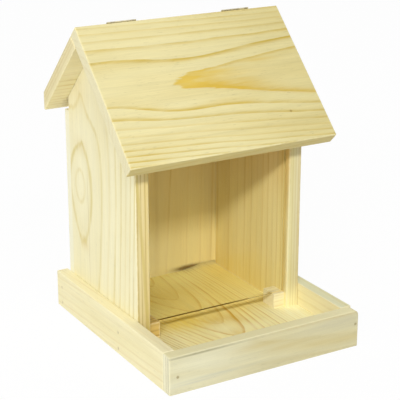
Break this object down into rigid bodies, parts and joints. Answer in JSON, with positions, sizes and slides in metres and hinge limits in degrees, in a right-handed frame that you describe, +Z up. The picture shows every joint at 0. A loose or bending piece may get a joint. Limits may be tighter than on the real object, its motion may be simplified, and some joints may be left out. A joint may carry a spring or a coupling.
{
  "type": "hopper bird feeder",
  "caption": "Small wooden hopper bird feeder: rimmed seed tray, gabled house with a clear front pane over a seed slot, fixed front roof board and hinged rear lid.",
  "frame": {"origin": "on the ground, under the middle of the tray", "axes": "+X along the ridge to the right as seen from the porch, +Y from the porch to the back, +Z up"},
  "size_m": [0.16, 0.173, 0.2212],
  "materials": {
    "pine": "planed and unfinished",
    "clear_pane": "clear",
    "brass_plate": "brass plated steel, dulled",
    "bright_nail": "bright drawn steel"
  },
  "bodies": {
    "house": {"floor_board": "pine", "front_rim": "pine", "left_rim": "pine", "right_rim": "pine", "left_wall": "pine", "right_wall": "pine", "back_panel": "pine", "front_pane": "clear_pane", "left_stop_block": "pine", "right_stop_block": "pine", "front_roof": "pine", "left_hinge_roof_leaf": "brass_plate", "left_hinge_pin": "brass_plate", "right_hinge_roof_leaf": "brass_plate", "right_hinge_pin": "brass_plate", "roof_leaf_screws": "brass_plate", "front_rim_nails": "bright_nail", "left_rim_nails": "bright_nail", "right_rim_nails": "bright_nail", "back_panel_nails": "bright_nail", "floor_nails": "bright_nail"},
    "lid": {"rear_lid": "pine", "left_hinge_lid_leaf": "brass_plate", "right_hinge_lid_leaf": "brass_plate", "lid_leaf_screws": "brass_plate"}
  },
  "joints": [
    {"name": "lid_hinge", "type": "hinge", "parent": "house", "child": "lid", "pos_m": [0, 0.03909, 0.21467], "axis": [1, 0, 0], "range_deg": [0, 180]}
  ]
}
